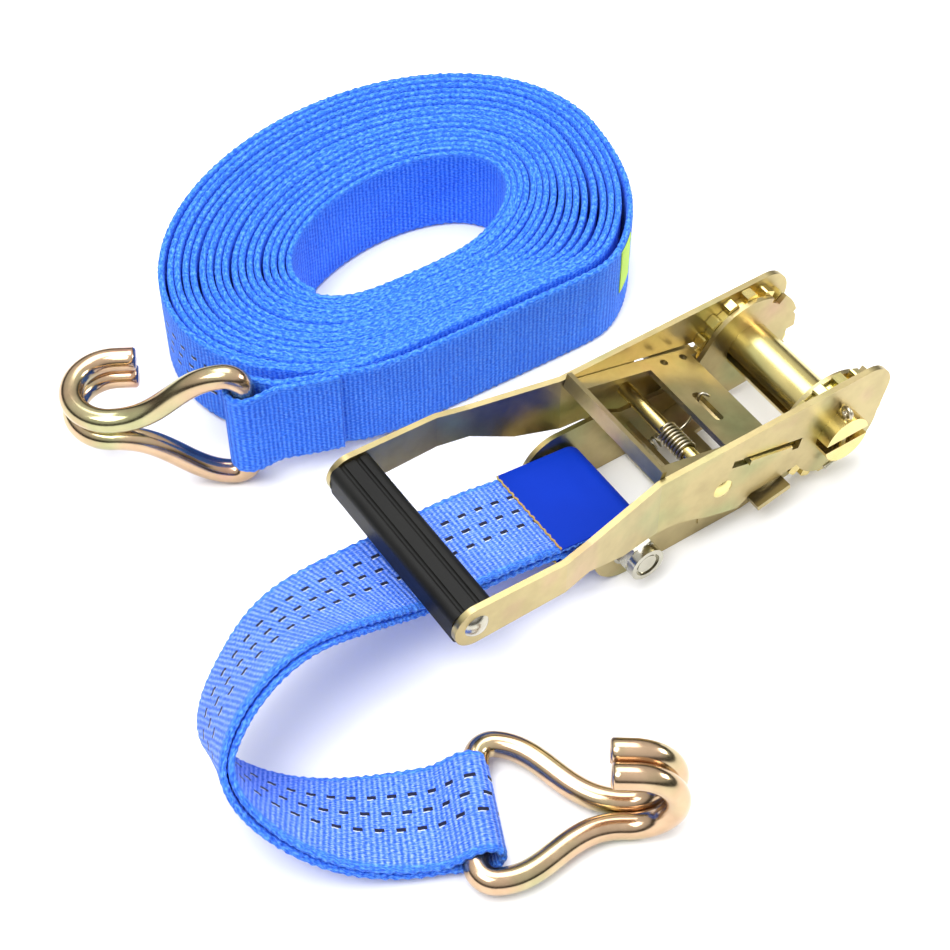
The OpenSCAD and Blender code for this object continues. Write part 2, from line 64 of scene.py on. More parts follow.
floor_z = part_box("long_strap_coil")[0][2]
bolt = np.array(joints["short_strap_swing"]["pos_m"], float)
short_bar = np.array(joints["short_hook_swing"]["pos_m"], float)
long_bar = np.array(joints["long_hook_swing"]["pos_m"], float)
short_way = np.array(mounts["short_hook_mouth"]["axis"], float)
long_way = np.array(mounts["long_hook_mouth"]["axis"], float)
UP = np.array([0.0, 0.0, 1.0])

WEB_W = 50 * MM
LAYER = 3.2 * MM
WIRE_R = 5.75 * MM

# ---------------------------------------------------------------- small helpers


def unit(v):
    v = np.asarray(v, float)
    return v / np.linalg.norm(v, axis=-1, keepdims=True)


def smooth(x):
    x = np.clip(x, 0, 1)
    return x * x * (3 - 2 * x)


def spline(control, count):
    """Smooth curve near its control values, which starts at the first and ends at the last."""
    c = np.asarray(control, float)
    c = c[:, None] if c.ndim == 1 else c
    k = np.vstack([2 * c[0] - c[1], c, 2 * c[-1] - c[-2]])
    u = np.linspace(0, len(c) - 1, count)
    i = np.minimum(u.astype(int), len(c) - 2)
    t = (u - i)[:, None]
    b0, b1 = (1 - t) ** 3, 3 * t**3 - 6 * t**2 + 4
    b2, b3 = -3 * t**3 + 3 * t**2 + 3 * t + 1, t**3
    return (b0 * k[i] + b1 * k[i + 1] + b2 * k[i + 2] + b3 * k[i + 3]) / 6


def lengths(points):
    return np.r_[0, np.cumsum(np.linalg.norm(np.diff(points, axis=0), axis=1))]


def resample(arrays, step):
    """The rows of each array, taken at even steps along the first, which holds points."""
    s = lengths(arrays[0])
    count = max(int(round(s[-1] / step)), 8)
    t = np.linspace(0, s[-1], count + 1)
    return [np.column_stack([np.interp(t, s, a[:, k]) for k in range(a.shape[1])]) for a in arrays]


def tangents(points, closed=False):
    if closed:
        return unit(np.roll(points, -1, 0) - np.roll(points, 1, 0))
    return unit(np.gradient(points, axis=0))


def mesh_object(name, verts, faces, uvs=None, corner_uv=None):
    """A smooth shaded mesh, with a UV for each vertex or for each corner."""
    mesh = bpy.data.meshes.new(name)
    mesh.from_pydata([tuple(v) for v in verts], [], [tuple(int(i) for i in f) for f in faces])
    if uvs is not None or corner_uv is not None:
        layer = mesh.uv_layers.new(name="UVMap")
        if corner_uv is None:
            index = np.zeros(len(mesh.loops), np.int64)
            mesh.loops.foreach_get("vertex_index", index)
            corner_uv = np.asarray(uvs, float)[index]
        layer.data.foreach_set("uv", np.ascontiguousarray(corner_uv, np.float32).ravel())
    mesh.polygons.foreach_set("use_smooth", [True] * len(mesh.polygons))
    mesh.update()
    obj = bpy.data.objects.new(name, mesh)
    bpy.context.scene.collection.objects.link(obj)
    return obj


def finish_piece(obj, body, material=None, node=None):
    if material is not None:
        obj.data.materials.append(material)
    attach(obj, body)
    if node:
        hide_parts(*([node] if isinstance(node, str) else node))
    return obj


FACE_POINTS, RIM_STEPS = 11, 4  # points across a band's face, and steps round its rim


def band(name, points, across, through, width, thick, closed=False, scallop=0.0, pitch=2.6 * MM, two_faced=False):
    """A woven band: a thin rounded section swept along points. UV is (length, place across) in metres.
    scallop is how far the selvedge waves in and out, and pitch is the length of one wave. A two-faced band has
    its second material on the face that through points away from."""
    n = len(points)
    rim = RIM_STEPS
    flat = np.linspace(-1, 1, FACE_POINTS)
    r = thick / 2
    outline, places = [], []
    for x in flat:
        outline.append((x * (width / 2 - r), r))
        places.append(x * (width / 2 - r))
    for k in range(1, rim):
        a = math.pi / 2 - math.pi * k / rim
        outline.append((width / 2 - r + r * math.cos(a), r * math.sin(a)))
        places.append(width / 2 - r + r * (math.pi / 2 - a))
    for x in flat[::-1]:
        outline.append((x * (width / 2 - r), -r))
        places.append(x * (width / 2 - r))
    for k in range(1, rim):
        a = -math.pi / 2 - math.pi * k / rim
        outline.append((-width / 2 + r + r * math.cos(a), r * math.sin(a)))
        places.append(-width / 2 + r - r * (-math.pi / 2 - a))
    outline = np.array(outline)
    m = len(outline)
    s = lengths(points)
    edge = np.clip((np.abs(outline[:, 0]) - (width / 2 - 2.2 * r)) / (2.2 * r), 0, 1)
    wave = scallop * np.sin(2 * math.pi * s[:, None] / pitch + np.where(outline[:, 0] > 0, 0.0, 2.0))
    x = outline[None, :, 0] + np.sign(outline[None, :, 0]) * edge[None, :] * wave
    ribs = 0.3 * scallop * np.sin(2 * math.pi * s[:, None] / (pitch * 0.6) + 1.3)
    twist = 0.55 * edge[None, :] * scallop * np.sin(
        2 * math.pi * s[:, None] / (pitch * 0.75) + 1.9 * np.arange(m)[None, :])
    z = outline[None, :, 1] * (1 + ribs / max(r, 1e-9)) + twist
    verts = points[:, None, :] + x[..., None] * across[:, None, :] + z[..., None] * through[:, None, :]
    verts = verts.reshape(-1, 3)
    faces, uv = [], []
    rows = n if closed else n - 1
    total = s[-1] + (np.linalg.norm(points[0] - points[-1]) if closed else 0)
    for i in range(rows):
        j = (i + 1) % n
        u0, u1 = s[i], (s[i + 1] if i + 1 < n else total)
        for k in range(m):
            l = (k + 1) % m
            faces.append((i * m + k, i * m + l, j * m + l, j * m + k))
            v0, v1 = places[k], places[l]
            uv += [(u0, v0), (u0, v1), (u1, v1), (u1, v0)]
    if not closed:
        faces.append(tuple(range(m - 1, -1, -1)))
        faces.append(tuple((n - 1) * m + k for k in range(m)))
        uv += [(s[0], places[k]) for k in range(m - 1, -1, -1)] + [(s[-1], places[k]) for k in range(m)]
    obj = mesh_object(name, verts, faces, corner_uv=uv)
    if two_faced:
        under = range(FACE_POINTS + rim - 2, 2 * FACE_POINTS + rim - 1)
        for i in range(rows):
            for k in under:
                obj.data.polygons[i * m + k].material_index = 1
    return obj


def tube(name, route, radius, sides=24, closed=False, seed_side=(0, 1, 0), cap_round=0.0):
    """A round wire along a route, with bevelled flat ends."""
    route = np.asarray(route, float)
    n = len(route)
    t = tangents(route, closed)
    side = unit(np.cross(t[0], seed_side))
    rings, where = [], []
    s = lengths(route)
    frames = []
    for i in range(n):
        side = unit(side - t[i] * np.dot(side, t[i]))
        frames.append((side, np.cross(t[i], side)))
    a = 2 * math.pi * np.arange(sides) / sides
    for i in range(n):
        u, v = frames[i]
        rings.append(route[i] + radius * (np.cos(a)[:, None] * u + np.sin(a)[:, None] * v))
        where.append(s[i])
    if cap_round and not closed:
        for end, sign in ((0, -1), (n - 1, 1)):
            u, v = frames[end]
            ring = route[end] + sign * t[end] * cap_round + (radius - cap_round) * (
                np.cos(a)[:, None] * u + np.sin(a)[:, None] * v)
            if end == 0:
                rings.insert(0, ring)
                where.insert(0, s[0] - cap_round)
            else:
                rings.append(ring)
                where.append(s[-1] + cap_round)
    k = len(rings)
    verts = np.vstack(rings)
    faces = []
    for i in range(k if closed else k - 1):
        j = (i + 1) % k
        for q in range(sides):
            r = (q + 1) % sides
            faces.append((i * sides + q, i * sides + r, j * sides + r, j * sides + q))
    if not closed:
        faces.append(tuple(range(sides - 1, -1, -1)))
        faces.append(tuple((k - 1) * sides + q for q in range(sides)))
    uvs = np.array([(w, radius * x) for w in where for x in a])
    obj = mesh_object(name, verts, faces, uvs=uvs)
    return obj


# ---------------------------------------------------------------- materials


class Nodes:
    """A short way to write a material's nodes."""

    def __init__(self, name):
        self.mat = bpy.data.materials.new(name)
        self.mat.use_nodes = True
        self.tree = self.mat.node_tree
        self.bsdf = self.tree.nodes["Principled BSDF"]

    def add(self, kind, **values):
        node = self.tree.nodes.new(kind)
        for key, value in values.items():
            if hasattr(node, key):
                setattr(node, key, value)
            else:
                node.inputs[key.replace("_", " ")].default_value = value
        return node

    def link(self, a, b):
        self.tree.links.new(a, b)

    def math(self, op, a, b=None, c=None, clamp=False):
        node = self.add("ShaderNodeMath", operation=op)
        node.use_clamp = clamp
        for i, v in enumerate((a, b, c)):
            if v is None:
                continue
            if isinstance(v, (int, float)):
                node.inputs[i].default_value = v
            else:
                self.link(v, node.inputs[i])
        return node.outputs[0]

    def mix(self, factor, a, b, blend="MIX"):
        node = self.add("ShaderNodeMix", data_type="RGBA", blend_type=blend)
        for socket, v in ((node.inputs["Factor"], factor), (node.inputs[6], a), (node.inputs[7], b)):
            if isinstance(v, (int, float)):
                socket.default_value = v
            elif isinstance(v, (tuple, list)):
                socket.default_value = (*v, 1.0) if len(v) == 3 else v
            else:
                self.link(v, socket)
        return node.outputs[2]

    def noise(self, scale, detail=3.0, rough=0.5, vector=None, stretch=None):
        node = self.add("ShaderNodeTexNoise")
        node.inputs["Scale"].default_value = scale
        node.inputs["Detail"].default_value = detail
        node.inputs["Roughness"].default_value = rough
        source = vector if vector is not None else self.add("ShaderNodeTexCoord").outputs["Object"]
        if stretch is not None:
            mapping = self.add("ShaderNodeMapping")
            mapping.inputs["Scale"].default_value = stretch
            self.link(source, mapping.inputs["Vector"])
            source = mapping.outputs["Vector"]
        self.link(source, node.inputs["Vector"])
        return node.outputs["Fac"]

    def ramp(self, value, stops):
        node = self.add("ShaderNodeValToRGB")
        e = node.color_ramp.elements
        while len(e) < len(stops):
            e.new(0.5)
        for item, (pos, col) in zip(e, stops):
            item.position = pos
            item.color = (*col, 1.0)
        self.link(value, node.inputs["Fac"])
        return node.outputs["Color"]

    def bump(self, height, strength, distance):
        node = self.add("ShaderNodeBump")
        node.inputs["Strength"].default_value = strength
        node.inputs["Distance"].default_value = distance
        self.link(height, node.inputs["Height"])
        self.link(node.outputs["Normal"], self.bsdf.inputs["Normal"])

    def put(self, name, value):
        socket = self.bsdf.inputs[name]
        if isinstance(value, (int, float)):
            socket.default_value = value
        elif isinstance(value, (tuple, list)):
            socket.default_value = (*value, 1.0) if len(value) == 3 else value
        else:
            self.link(value, socket)


def zinc(name, base, warm, cool, rough, stretch=(1, 1, 1)):
    """Zinc plate with a coloured passivation: its tint drifts between straw, rose and green."""
    m = Nodes(name)
    drift = m.noise(26, 2.0, 0.5, stretch=stretch)
    patch = m.noise(70, 3.0, 0.6, stretch=stretch)
    tint = m.ramp(drift, [(0.30, cool), (0.48, base), (0.60, base), (0.76, warm)])
    spots = m.ramp(patch, [(0.35, (0.72, 0.70, 0.66)), (0.62, (1.0, 1.0, 1.0))])
    m.put("Base Color", m.mix(0.55, tint, m.mix(1.0, tint, spots, "MULTIPLY")))
    m.put("Metallic", 1.0)
    fine = m.noise(900, 3.0, 0.6, stretch=(1, 0.15, 1))
    m.put("Roughness", m.math("ADD", m.math("MULTIPLY", patch, 0.16), rough - 0.08))
    m.bump(m.math("ADD", m.math("MULTIPLY", fine, 0.25), m.noise(240, 3.0, 0.6)), 0.25, 0.00008)
    return m.mat


def webbing(name, base, dark, light, dashes=True, rows=(-5.0, 3.5, 12.0)):
    """Woven polyester: cross ribs, fine long threads and rows of black marker stitches, each with a painted
    highlight beside it. Lengths are in mm here.
    """
    m = Nodes(name)
    uv = m.add("ShaderNodeUVMap", uv_map="UVMap")
    split = m.add("ShaderNodeSeparateXYZ")
    m.link(uv.outputs["UV"], split.inputs[0])
    u = m.math("MULTIPLY", split.outputs["X"], 1000.0)
    v = m.math("MULTIPLY", split.outputs["Y"], 1000.0)
    warp = m.noise(1.0, 2.0, 0.5, vector=uv.outputs["UV"], stretch=(90, 90, 1))
    uw = m.math("ADD", u, m.math("MULTIPLY", warp, 1.2))
    vw = m.math("ADD", v, m.math("MULTIPLY", warp, 0.5))
    ribs = m.math("SINE", m.math("MULTIPLY", uw, 2 * math.pi / 2.4))
    threads = m.math("SINE", m.math("MULTIPLY", vw, 2 * math.pi / 1.15))
    slant = m.math("ADD", m.math("MULTIPLY", uw, 2 * math.pi / 4.8), m.math("MULTIPLY", vw, math.pi / 1.15))
    step = m.math("SINE", slant)
    weave = m.math("ADD", m.math("MULTIPLY", ribs, 0.62), m.math("MULTIPLY", threads, 0.22))
    weave = m.math("ADD", weave, m.math("MULTIPLY", step, 0.20))
    slub = m.noise(1.0, 3.0, 0.7, vector=uv.outputs["UV"], stretch=(160, 420, 1))
    weave = m.math("MULTIPLY", weave, m.math("ADD", m.math("MULTIPLY", slub, 2.6), -0.3))
    fuzz = m.noise(1.0, 4.0, 0.7, vector=uv.outputs["UV"], stretch=(520, 1500, 1))
    broad = m.noise(1.0, 3.0, 0.6, vector=uv.outputs["UV"], stretch=(45, 60, 1))
    height = m.math("ADD", m.math("MULTIPLY", weave, 0.5), m.math("MULTIPLY", fuzz, 0.9))
    shade = m.math("ADD", m.math("MULTIPLY", weave, 0.21), m.math("ADD", m.math("MULTIPLY", fuzz, 1.5), -0.25))
    colour = m.ramp(shade, [(0.22, dark), (0.50, base), (0.78, light)])
    wash = m.ramp(broad, [(0.35, (0.84, 0.88, 0.95)), (0.65, (1.0, 1.0, 1.0))])
    colour = m.mix(1.0, colour, wash, "MULTIPLY")
    # the selvedge is a tighter, deeper coloured rope weave
    past = m.math("MAXIMUM", m.math("SUBTRACT", m.math("ABSOLUTE", v), 21.5), 0.0)
    edge = m.math("SMOOTH_MIN", m.math("MULTIPLY", past, 0.8), 1.0, 0.2)
    rope = m.noise(1.0, 2.0, 0.6, vector=uv.outputs["UV"], stretch=(420, 900, 1))
    braid = m.ramp(rope, [(0.38, (0.006, 0.085, 0.66)), (0.50, (0.025, 0.19, 0.88)), (0.64, (0.12, 0.36, 1.0))])
    colour = m.mix(m.math("MULTIPLY", edge, 0.85), colour, braid)
    if dashes:
        marks, painted_glints = None, None
        for k, row in enumerate(rows):
            away = m.math("ABSOLUTE", m.math("SUBTRACT", v, row))
            phase = m.math("FRACT", m.math("ADD", m.math("MULTIPLY", uw, 1 / 9.0), 0.37 * k))
            on = m.math("MULTIPLY", m.math("LESS_THAN", phase, 0.46), m.math("LESS_THAN", away, 0.9))
            # painted highlight: a pale streak just beside each dash, where light glints off the raised stitch
            beside = m.math("ABSOLUTE", m.math("SUBTRACT", m.math("SUBTRACT", v, row), -1.0))
            amid = m.math("ABSOLUTE", m.math("SUBTRACT", phase, 0.30))
            near = m.math("MULTIPLY", m.math("LESS_THAN", beside, 0.35), m.math("LESS_THAN", amid, 0.16))
            marks = on if marks is None else m.math("MAXIMUM", marks, on)
            painted_glints = near if painted_glints is None else m.math("MAXIMUM", painted_glints, near)
        # painted highlight: the pale streaks are mixed into the colour beside the dashes
        colour = m.mix(m.math("MULTIPLY", painted_glints, 0.8), colour, (0.80, 0.86, 1.0))
        colour = m.mix(marks, colour, (0.004, 0.006, 0.03))
        height = m.math("ADD", height, m.math("MULTIPLY", marks, 0.8))
    m.put("Base Color", colour)
    m.put("Roughness", 0.72)
    m.put("Sheen Weight", 0.08)
    m.put("Sheen Roughness", 0.4)
    m.put("Sheen Tint", (0.6, 0.75, 1.0))
    m.put("Specular IOR Level", 0.35)
    m.bump(height, 1.0, 0.0005)
    return m.mat


def plain_cloth(name, base, dark, scale, rough=0.6):
    """Finely woven or sewn cloth with no ribs to see."""
    m = Nodes(name)
    fine = m.noise(scale, 3.0, 0.6)
    broad = m.noise(60, 2.0, 0.5)
    share = m.math("ADD", m.math("MULTIPLY", fine, 0.35), m.math("MULTIPLY", broad, 0.5), clamp=True)
    m.put("Base Color", m.mix(share, dark, base))
    m.put("Roughness", rough)
    m.put("Specular IOR Level", 0.12)
    m.bump(fine, 0.35, 0.0001)
    return m.mat


def plastic(name):
    """Black moulded plastic with a fine grain and light scuffs."""
    m = Nodes(name)
    grain = m.noise(1500, 3.0, 0.6)
    scuff = m.noise(60, 4.0, 0.7, stretch=(1, 0.3, 1))
    m.put("Base Color", m.ramp(scuff, [(0.3, (0.004, 0.004, 0.004)), (0.7, (0.010, 0.010, 0.009))]))
    m.put("Roughness", m.math("ADD", m.math("MULTIPLY", scuff, 0.25), 0.34))
    m.put("Specular IOR Level", 0.16)
    m.bump(grain, 0.35, 0.0001)
    return m.mat


mat_plate = zinc("zinc_plate", (0.47, 0.385, 0.19), (0.50, 0.34, 0.22), (0.37, 0.38, 0.18), 0.34)
mat_round = zinc(
    "zinc_round", (0.78, 0.64, 0.26), (0.76, 0.54, 0.26), (0.62, 0.62, 0.26), 0.24, stretch=(1, 0.4, 1))
mat_hook = zinc("hook_zinc", (0.60, 0.42, 0.27), (0.60, 0.32, 0.27), (0.48, 0.46, 0.25), 0.19)
mat_clear = zinc("clear_zinc", (0.50, 0.48, 0.40), (0.54, 0.47, 0.36), (0.46, 0.47, 0.40), 0.22)
mat_spring = zinc("spring_steel", (0.50, 0.45, 0.34), (0.52, 0.42, 0.32), (0.44, 0.44, 0.36), 0.30)
mat_strap = webbing("webbing_marked", (0.075, 0.21, 0.90), (0.004, 0.075, 0.60), (0.34, 0.48, 1.0))
COIL_BLUES = (0.012, 0.165, 0.90), (0.001, 0.065, 0.62), (0.12, 0.36, 1.0)
mat_coil = webbing("webbing_coil", *COIL_BLUES, rows=(-6.0, 2.0, 10.0))
mat_plain = webbing("webbing_plain", *COIL_BLUES, dashes=False)
mat_sleeve = plain_cloth("sleeve_cloth", (0.0, 0.030, 0.41), (0.0, 0.022, 0.33), 1400, 0.62)
mat_hem = plain_cloth("hem_thread", (0.62, 0.18, 0.05), (0.25, 0.35, 0.10), 1800, 0.7)
mat_label = plain_cloth("label_cloth", (0.55, 0.80, 0.12), (0.40, 0.62, 0.10), 1500, 0.6)
mat_grip = plastic("grip_plastic")

# ---------------------------------------------------------------- CAD nodes: finish and softened edges

FINISH = {
    "frame_side_left": mat_plate, "frame_side_right": mat_plate, "frame_cross_plate": mat_plate,
    "frame_pawl": mat_plate, "handle_side_left": mat_plate, "handle_side_right": mat_plate,
    "handle_pawl": mat_plate, "strap_bolt_spacer": mat_round, "handle_cross_rod": mat_round,
    "spindle_half_upper": mat_round, "spindle_half_lower": mat_round, "ratchet_wheel_left": mat_round,
    "ratchet_wheel_right": mat_round, "strap_bolt": mat_clear, "strap_bolt_nut": mat_clear, "grip_rod": mat_clear,
    "split_pin_left": mat_spring, "split_pin_right": mat_spring, "handle_grip": mat_grip,
}
EDGE_WIDTH = {"handle_grip": 0.8, "split_pin_left": 0.1, "split_pin_right": 0.1}
for name, material in FINISH.items():
    obj = frame["nodes"][name]
    obj.data.materials.clear()
    obj.data.materials.append(material)
    width = EDGE_WIDTH.get(name, 0.35)
    bevel = obj.modifiers.new("soft_edge", "BEVEL")
    bevel.width = width * MM
    bevel.segments = 2
    bevel.limit_method = "ANGLE"
    bevel.angle_limit = math.radians(35)
    bevel.harden_normals = False
    bevel.use_clamp_overlap = True

# ---------------------------------------------------------------- short strap: one band, folded double and sewn

LEAD_LENGTH, LEAD_SLOPE = 40, math.radians(19)  # the straight stretch off the bolt, and how steeply it rises
short_line = np.array([
    bolt / MM + LEAD_LENGTH * np.array([-math.cos(LEAD_SLOPE), 0, math.sin(LEAD_SLOPE)]),
    [-172, 0, 3], [-196, 0, 5], [-222, 1, 5], [-253, -1, 15], [-293, -13, 29],
    [-340, -33, 6], [-309, -70, -23], [-270, -90, -30], short_bar / MM,
]) * MM
hook_heading = math.degrees(math.atan2(short_way[1], short_way[0]))
across_deg = [90, 90, 90, 88, 82, 75, 77, 78, 62, 90 + hook_heading]
bank_deg = [0, 0, -1, -6, -20, -30, -32, -16, 0, 0]
count = 400
mid = spline(short_line, count)
h = np.radians(spline(across_deg, count)[:, 0])
b = np.radians(spline(bank_deg, count)[:, 0])
wide = np.column_stack([np.cos(h) * np.cos(b), np.sin(h) * np.cos(b), np.sin(b)])
# the straight stretch between the bolt and the sleeve's end
lead = np.linspace(0, 1, 41)[:-1, None]
mid = np.vstack([bolt + lead * (mid[0] - bolt), mid])
wide = np.vstack([np.tile([0.0, 1.0, 0.0], (40, 1)), wide])
mid, wide = resample([mid, wide], 0.9 * MM)
along = tangents(mid)
wide = unit(wide - along * (wide * along).sum(1)[:, None])
out = np.cross(wide, along)
s = lengths(mid)
BOLT_R = 8.2 * MM + LAYER / 2
EYE_R = WIRE_R + 0.15 * MM + LAYER / 2
rest_gap = LAYER / 2 + 0.15 * MM + 0.35 * MM * smooth(s / (60 * MM)) * smooth((s[-1] - s) / (50 * MM))
BOLT_TAPER, EYE_TAPER = 38 * MM, 18 * MM  # over these lengths the two layers close up from the bolt and the bar
from_bolt = np.clip(s / BOLT_TAPER, 0, 1)
offset = np.maximum(rest_gap, BOLT_R * np.clip(1 - s / BOLT_TAPER, 0, 1) + rest_gap * from_bolt)
to_eye = s[-1] - s
offset = np.where(to_eye < EYE_TAPER, rest_gap + (EYE_R - rest_gap) * smooth(1 - to_eye / EYE_TAPER), offset)


def arc(centre, forward, normal, radius, from_deg, to_deg, steps):
    a = np.radians(np.linspace(from_deg, to_deg, steps))[:, None]
    return centre + radius * (np.cos(a) * forward + np.sin(a) * normal)


TURN_POINTS = 24


def folded_band(name, mid, wide, out, offset, first_centre, last_centre, first_r, last_r, step, **kw):
    """The outer layer, round the far eye, the inner layer back and round the near eye: one closed band."""
    along = tangents(mid)
    first_turn = arc(first_centre, -along[0], out[0], first_r, -88, 88, TURN_POINTS)
    last_turn = arc(last_centre, along[-1], out[-1], last_r, 88, -88, TURN_POINTS)
    keep = slice(1, -1)
    upper = (mid + out * offset[:, None])[keep]
    lower = (mid - out * offset[:, None])[keep][::-1]
    points = np.vstack([upper, last_turn, lower, first_turn])
    w = np.vstack([
        wide[keep], np.tile(wide[-1], (TURN_POINTS, 1)), wide[keep][::-1], np.tile(wide[0], (TURN_POINTS, 1))])
    points = np.vstack([points, points[:1]])
    w = np.vstack([w, w[:1]])
    points, w = resample([points, w], step)
    points, w = points[:-1], w[:-1]
    t = tangents(points, closed=True)
    w = unit(w - t * (w * t).sum(1)[:, None])
    return band(name, points, w, np.cross(w, t), closed=True, **kw), lengths(points)[-1] + step


strap, strap_len = folded_band(
    "short_strap_webbing", mid, wide, out, offset, bolt, short_bar, BOLT_R, EYE_R, 0.9 * MM,
    width=WEB_W, thick=LAYER, scallop=0.38 * MM, pitch=4.8 * MM,
)
finish_piece(strap, "short_strap_end", mat_strap, "short_strap")

# ---------------------------------------------------------------- sleeve over the sewn loop

n_sleeve = int(np.searchsorted(s, 39 * MM))
sl_mid, sl_out = mid[:n_sleeve], out[:n_sleeve]
sl_off = offset[:n_sleeve] + LAYER / 2 + 0.65 * MM
sl_along = tangents(sl_mid)
turn = arc(bolt, -sl_along[0], sl_out[0], sl_off[0], -88, 88, 30)
path = np.vstack([(sl_mid - sl_out * sl_off[:, None])[1:][::-1], turn, (sl_mid + sl_out * sl_off[:, None])[1:]])
sw = np.tile([0.0, 1.0, 0.0], (len(path), 1))
path, sw = resample([path, sw], 1.2 * MM)
t = tangents(path)
sleeve = band("sleeve_cover", path, sw, np.cross(sw, t), WEB_W + 1.6 * MM, 0.9 * MM)
finish_piece(sleeve, "short_strap_end", mat_sleeve, "strap_sleeve")
HEM_POINTS = 60
stitch = np.arange(HEM_POINTS)
hem_wander = np.column_stack([
    0.25 * MM * np.sin(stitch * 1.3), np.zeros(HEM_POINTS), 0.15 * MM * np.cos(stitch * 1.7)])
for k, side in ((0, "under"), (len(path) - 1, "over")):
    line = [path[k] + np.array([0, y, 0]) for y in np.linspace(-25.4, 25.4, HEM_POINTS) * MM]
    line = np.array(line) + hem_wander
    piece = tube("sleeve_hem_" + side, line, 0.55 * MM, sides=8, seed_side=(1, 0, 0))
    finish_piece(piece, "short_strap_end", mat_hem)

# ---------------------------------------------------------------- hooks: bent round wire, sizes in mm

REACH, BEND_R, ARM, PRONG, CORNER = 62.0, 19.5, 33.0, 5.9, 8.0


def bezier(p, t):
    t = np.asarray(t)[:, None]
    p = np.asarray(p, float)
    return (1 - t) ** 3 * p[0] + 3 * (1 - t) ** 2 * t * p[1] + 3 * (1 - t) * t**2 * p[2] + t**3 * p[3]


half = [[0, y, 0] for y in np.linspace(0, ARM - CORNER, 14)[1:]]
half += [
    [CORNER - CORNER * math.cos(a), ARM - CORNER + CORNER * math.sin(a), 0] for a in np.radians(np.arange(9, 90, 9))]
arm_curve = [[CORNER, ARM, 0], [30, ARM - 1, 0], [36, PRONG, 0], [REACH, PRONG, 0]]
half += bezier(arm_curve, np.linspace(0, 1, 40)).tolist()
half += [
    [REACH + BEND_R * math.sin(a), PRONG, BEND_R * (1 - math.cos(a))] for a in np.radians(np.arange(5, 181, 5))]
half += [[REACH - x, PRONG, 2 * BEND_R] for x in (3, 6, 8.5)]
half = np.array(half)
hook_route = np.vstack([(half * [1, -1, 1])[::-1], [[0, 0, 0]], half]) * MM


def hook(name, centre, way, bar, rise, body, node):
    axes = np.column_stack([way, bar, rise])
    route = centre + hook_route @ axes.T
    piece = tube(name, route, WIRE_R, sides=28, seed_side=tuple(bar), cap_round=1.0 * MM)
    return finish_piece(piece, body, mat_hook, node)


tilt = math.asin((short_bar[2] - floor_z - WIRE_R) / (66 * MM))
short_side = np.cross(UP, short_way)
tipped = short_way * math.cos(tilt) - UP * math.sin(tilt)
short_rise = np.cross(tipped, short_side)
hook("short_hook_wire", short_bar, tipped, short_side, short_rise, "short_hook", "short_strap_hook")
hook("long_hook_wire", long_bar, long_way, UP, np.cross(long_way, UP), "long_hook", "long_strap_hook")

# ---------------------------------------------------------------- coil: one band wound in a flat oval

COIL_TURN = math.radians(8)
outer_at, hole_at = np.array([-104, 188.0]) * MM, np.array([-101, 181.0]) * MM
outer_ab, hole_ab = np.array([126, 93.0]) * MM, np.array([62, 34.0]) * MM
GAP = 2.4 * MM
TAIL_FROM, TAIL_TO = -4.0, -112.0
TURNS, INNER_END = 16, 194.0
TAIL_FRONT = 99.4 * MM
COIL_FRONT = TAIL_FRONT + 4.0 * MM
HOLE_FRONT = 147 * MM


def swell(deg):
    """How far the outer turns swell at the corner before the tail, from 0 to 1, by the angle on the coil."""
    deg = (np.asarray(deg, float) + 180) % 360 - 180
    return np.minimum(smooth((-12 - deg) / 50), 1 - smooth((-66 - deg) / 34))


def flattened(p, y, soft=2.5 * MM):
    """Brings points in front of a straight run along X back onto it."""
    run_y = y - 0.034 * (p[:, 0] + 88 * MM)
    p = p.copy()
    p[:, 1] = run_y + soft * np.log1p(np.exp((p[:, 1] - run_y) / soft))
    return p


def opened(deg):
    """How far the outer turns open towards the start of the tail, from 0 to 1."""
    deg = (np.asarray(deg, float) + 180) % 360 - 180
    return np.where(deg > 176, 0, smooth((176 - deg) / 150)) * (1 - smooth((-60 - deg) / 30))


def on_oval(centre, ab, deg):
    a = np.radians(deg)
    x, y = ab[..., 0] * np.cos(a), ab[..., 1] * np.sin(a)
    return np.stack([
        centre[..., 0] + x * math.cos(COIL_TURN) - y * math.sin(COIL_TURN),
        centre[..., 1] + x * math.sin(COIL_TURN) + y * math.cos(COIL_TURN),
        np.full(np.shape(x), floor_z + WEB_W / 2),
    ], axis=-1)


total_deg = 360 * TURNS + INNER_END - TAIL_FROM
q = np.linspace(0, 1, int(total_deg * 0.75))
deg = INNER_END - total_deg * q
phase = np.radians(total_deg * q)
wobble = 0.45 * MM * np.sin(phase * 0.37 + 0.7) * np.sin(phase * 2.13) * smooth(q * 8) * smooth((1 - q) * 30)
ab = (hole_ab + 1.7 * MM) + (outer_ab - 1.6 * MM - hole_ab - 1.7 * MM) * q[:, None] + wobble[:, None]
ab = ab + (10 * MM * swell(deg) * smooth((q - 0.15) / 0.78))[:, None]
ab = ab + (4 * MM * opened(deg) * smooth((q - 0.6) / 0.4))[:, None]
line = on_oval(hole_at + (outer_at - hole_at) * q[:, None], ab, deg)
line = flattened(line, COIL_FRONT + (1 - q) * (HOLE_FRONT - COIL_FRONT))
ripple = np.sin(phase * 0.73 + 1.0) * np.sin(phase * 0.11) + 1
line[:, 2] += 0.5 * MM * ripple * smooth(q * 20) * smooth((1 - q) * 30)
line, = resample([line], 1.6 * MM)
t = tangents(line)
up = np.tile(UP, (len(line), 1))
coil = band(
    "coil_webbing", line, up, np.cross(up, t), WEB_W - 0.8 * MM, 3.1 * MM, scallop=0.40 * MM, pitch=5.2 * MM,
    two_faced=True)
coil.data.materials.append(mat_coil)
finish_piece(coil, "long_strap", mat_plain, "long_strap_coil")

# ---------------------------------------------------------------- tail: the outermost stretch and its sewn loop

TAIL_DIR = math.radians(156)
tail_way = np.array([math.cos(TAIL_DIR), math.sin(TAIL_DIR), 0])


